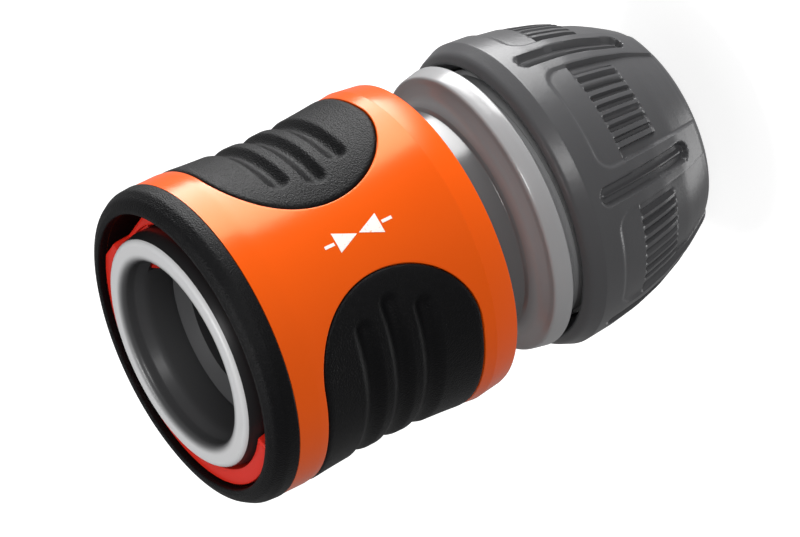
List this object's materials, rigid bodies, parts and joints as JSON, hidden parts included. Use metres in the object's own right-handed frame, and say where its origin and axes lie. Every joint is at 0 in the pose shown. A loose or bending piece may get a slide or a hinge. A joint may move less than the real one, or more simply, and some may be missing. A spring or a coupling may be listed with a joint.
{
  "type": "garden hose quick connector",
  "caption": "Hose coupling with a sliding release sleeve, soft grips, a self-closing shut-off valve and a ribbed nut that clamps the hose.",
  "frame": {"origin": "centre of the nut's rear rim, which the connector stands on", "axes": "+Z along the water passage from nut to socket mouth; the grip pads lie on +X and -X"},
  "size_m": [0.045, 0.045, 0.0762],
  "materials": {
    "orange_shell": "gloss",
    "soft_black": "fine grained",
    "red_lock": "satin",
    "light_grey": "satin",
    "mid_grey": "gloss",
    "nut_grey": "satin",
    "seal_rubber": "matte",
    "spring_steel": "drawn wire"
  },
  "bodies": {
    "connector_body": {"socket_body": "light_grey", "rear_body": "mid_grey", "body_seal": "seal_rubber", "locking_ring": "red_lock", "valve_guide": "mid_grey", "sleeve_spring": "spring_steel", "valve_spring": "spring_steel"},
    "sleeve": {"release_sleeve": "orange_shell", "front_ring": "soft_black", "grip_pad_left": "soft_black", "grip_pad_right": "soft_black"},
    "valve": {"valve_pusher": "light_grey", "valve_disc": "mid_grey", "valve_seal": "seal_rubber"},
    "collet": {"clamp_collet": "light_grey"},
    "nut": {"union_nut": "nut_grey"}
  },
  "joints": [
    {"name": "sleeve_slide", "type": "slide", "parent": "connector_body", "child": "sleeve", "axis": [0, 0, -1], "range_m": [0, 0.004], "stiffness_N_per_m": 1200, "springref_m": -0.004, "deforming": ["sleeve_spring"]},
    {"name": "valve_slide", "type": "slide", "parent": "connector_body", "child": "valve", "axis": [0, 0, -1], "range_m": [0, 0.0055], "stiffness_N_per_m": 600, "springref_m": -0.005, "deforming": ["valve_spring"]},
    {"name": "nut_travel", "type": "slide", "parent": "connector_body", "child": "collet", "axis": [0, 0, -1], "range_m": [0, 0.0075]},
    {"name": "nut_turn", "type": "hinge", "parent": "collet", "child": "nut", "pos_m": [0, 0, 0], "axis": [0, 0, -1], "range_deg": [0, 900]}
  ],
  "couplings": [
    {"joint": "nut_travel", "follows": "nut_turn", "m_per_rad": 0.00047746}
  ]
}
